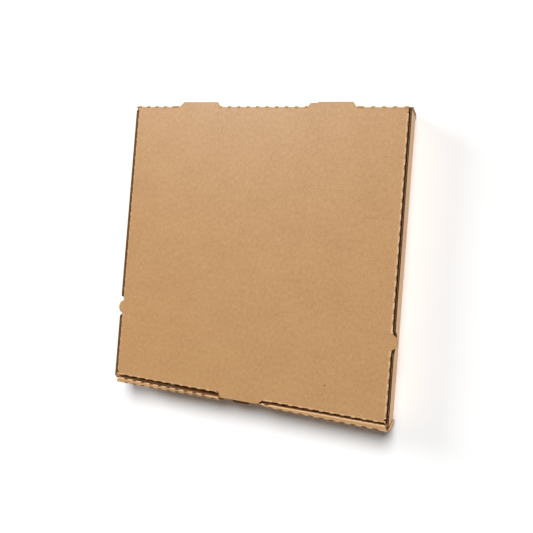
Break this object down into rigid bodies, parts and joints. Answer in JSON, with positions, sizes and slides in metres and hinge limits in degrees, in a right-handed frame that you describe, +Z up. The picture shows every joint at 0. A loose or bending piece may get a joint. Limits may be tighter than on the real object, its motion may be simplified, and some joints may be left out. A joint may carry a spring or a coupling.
{
  "type": "pizza box",
  "caption": "Square shallow folded box of plain corrugated kraft board, with a rolled-over front wall and a lid hinged on the rear wall whose flaps tuck inside the tray.",
  "frame": {"origin": "middle of the underside of the tray's floor", "axes": "+X across the box to the right seen from the front, +Y from the front wall to the hinge, +Z up through the lid"},
  "size_m": [0.3656, 0.3707, 0.0444],
  "materials": {
    "board": "matt unbleached kraft liner"
  },
  "bodies": {
    "tray": {"tray": "board"},
    "lid": {"lid": "board"}
  },
  "joints": [
    {"name": "lid_fold", "type": "hinge", "parent": "tray", "child": "lid", "pos_m": [0, 0.18177, 0.04365], "axis": [-1, 0, 0], "range_deg": [0, 180]}
  ]
}
